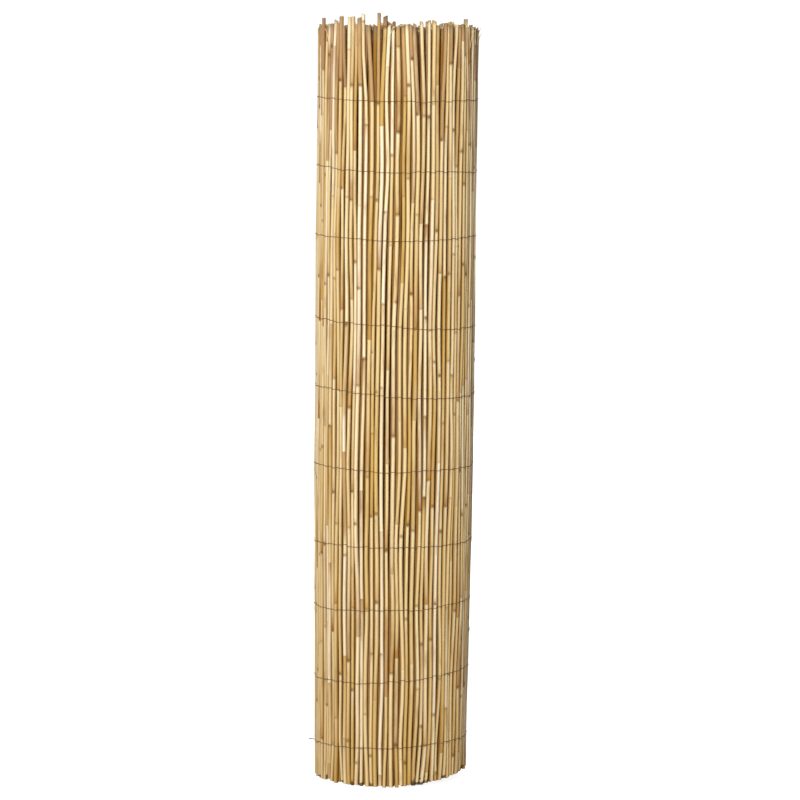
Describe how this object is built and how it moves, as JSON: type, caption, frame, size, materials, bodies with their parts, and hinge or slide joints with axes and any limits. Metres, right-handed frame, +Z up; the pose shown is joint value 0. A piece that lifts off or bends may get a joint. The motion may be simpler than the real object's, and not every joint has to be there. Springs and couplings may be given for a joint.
{
  "type": "rolled reed screen",
  "caption": "Natural reed screen rolled up and standing on end: slender dried reeds bound side by side with rows of thin wire, wound round an open core.",
  "frame": {"origin": "centre of the roll's box, on the ground that its foot stands on", "axes": "+Z up along the reeds, -Y towards the viewer of the picture, free edge of the mat at -X"},
  "size_m": [0.2143, 0.2048, 1],
  "materials": {
    "dried_reed": "natural, dull satin",
    "iron_wire": "annealed, dull"
  },
  "bodies": {
    "root": {"reed_mat": "dried_reed", "binding_wire_01": "iron_wire", "binding_wire_02": "iron_wire", "binding_wire_03": "iron_wire", "binding_wire_04": "iron_wire", "binding_wire_05": "iron_wire", "binding_wire_06": "iron_wire", "binding_wire_07": "iron_wire", "binding_wire_08": "iron_wire", "binding_wire_09": "iron_wire", "binding_wire_10": "iron_wire"}
  },
  "joints": []
}
